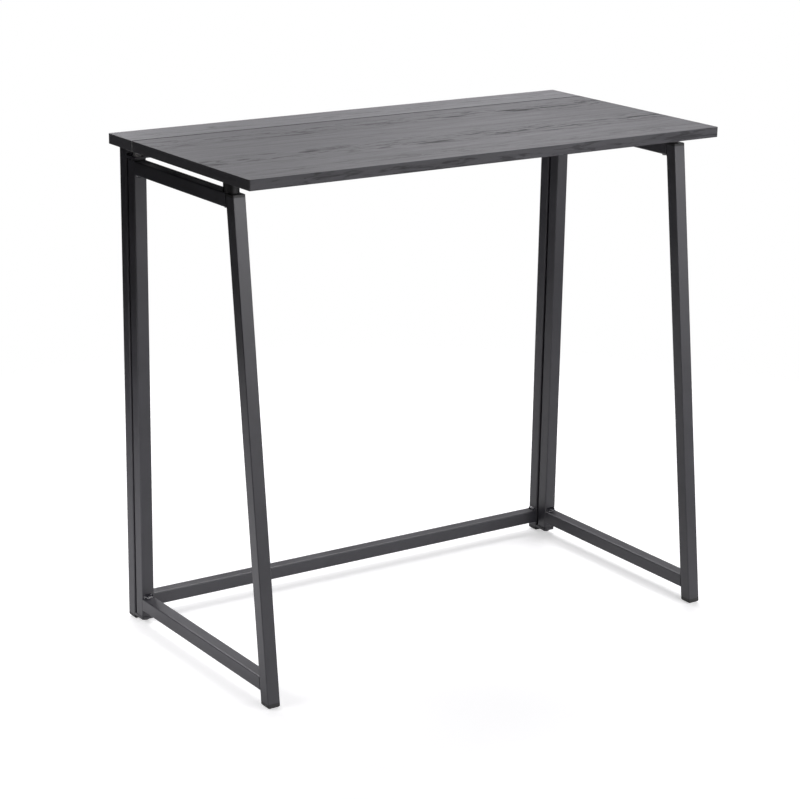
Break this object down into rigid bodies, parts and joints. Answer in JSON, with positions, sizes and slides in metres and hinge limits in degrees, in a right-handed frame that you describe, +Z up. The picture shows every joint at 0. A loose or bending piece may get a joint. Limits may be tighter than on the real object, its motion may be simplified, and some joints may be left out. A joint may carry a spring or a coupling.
{
  "type": "folding desk",
  "caption": "Folding desk with a wood-grain top on a welded square-tube rear frame; two side frames fold in flat and the hinged front board lifts off them.",
  "frame": {"origin": "on the floor, at the bottom centre of the whole desk's box", "axes": "+Z up; the user sits on the -Y side; +X to the user's right along the desktop's width"},
  "size_m": [0.8, 0.4275, 0.739],
  "materials": {
    "frame_powder_coat": "satin black powder coat",
    "desktop_laminate": "matte charcoal wood-grain laminate",
    "black_plastic": "fine moulded texture",
    "black_zinc_steel": "black zinc, satin"
  },
  "bodies": {
    "rear_frame_assembly": {"rear_post_left": "frame_powder_coat", "rear_post_right": "frame_powder_coat", "rear_top_rail": "frame_powder_coat", "rear_bottom_rail": "frame_powder_coat", "rear_frame_welds": "frame_powder_coat", "upper_pivot_lug_left": "frame_powder_coat", "upper_pivot_lug_right": "frame_powder_coat", "lower_pivot_lug_left": "frame_powder_coat", "lower_pivot_lug_right": "frame_powder_coat", "rear_foot_left": "black_plastic", "rear_foot_right": "black_plastic", "rear_board": "desktop_laminate", "rear_board_screws": "black_zinc_steel", "hinge_fixed_leaf_left": "black_zinc_steel", "hinge_fixed_leaf_centre": "black_zinc_steel", "hinge_fixed_leaf_right": "black_zinc_steel", "hinge_pins": "black_zinc_steel", "hinge_fixed_leaf_screws": "black_zinc_steel"},
    "front_board_assembly": {"front_board": "desktop_laminate", "hinge_moving_leaf_left": "black_zinc_steel", "hinge_moving_leaf_centre": "black_zinc_steel", "hinge_moving_leaf_right": "black_zinc_steel", "hinge_moving_leaf_screws": "black_zinc_steel"},
    "left_side_frame": {"left_side_post": "frame_powder_coat", "left_top_rail": "frame_powder_coat", "left_bottom_rail": "frame_powder_coat", "left_front_leg": "frame_powder_coat", "left_frame_welds": "frame_powder_coat", "left_leg_cap": "black_plastic", "left_front_foot": "black_plastic", "left_upper_insert": "black_plastic", "left_lower_insert": "black_plastic", "left_upper_pivot_bolt": "black_zinc_steel", "left_lower_pivot_bolt": "black_zinc_steel", "left_pivot_washers": "black_plastic", "left_support_pad": "black_plastic", "left_pad_screw": "black_zinc_steel", "left_pad_washer": "black_zinc_steel"},
    "right_side_frame": {"right_side_post": "frame_powder_coat", "right_top_rail": "frame_powder_coat", "right_bottom_rail": "frame_powder_coat", "right_front_leg": "frame_powder_coat", "right_frame_welds": "frame_powder_coat", "right_leg_cap": "black_plastic", "right_front_foot": "black_plastic", "right_upper_insert": "black_plastic", "right_lower_insert": "black_plastic", "right_upper_pivot_bolt": "black_zinc_steel", "right_lower_pivot_bolt": "black_zinc_steel", "right_pivot_washers": "black_plastic", "right_support_pad": "black_plastic", "right_pad_screw": "black_zinc_steel", "right_pad_washer": "black_zinc_steel"}
  },
  "joints": [
    {"name": "left_frame_fold", "type": "hinge", "parent": "rear_frame_assembly", "child": "left_side_frame", "pos_m": [-0.38, 0.165, 0], "axis": [0, 0, 1], "range_deg": [0, 90]},
    {"name": "right_frame_fold", "type": "hinge", "parent": "rear_frame_assembly", "child": "right_side_frame", "pos_m": [0.38, 0.165, 0], "axis": [0, 0, -1], "range_deg": [0, 90]},
    {"name": "front_board_lift", "type": "hinge", "parent": "rear_frame_assembly", "child": "front_board_assembly", "pos_m": [0, 0.1413, 0.7211], "axis": [-1, 0, 0], "range_deg": [0, 4]}
  ]
}
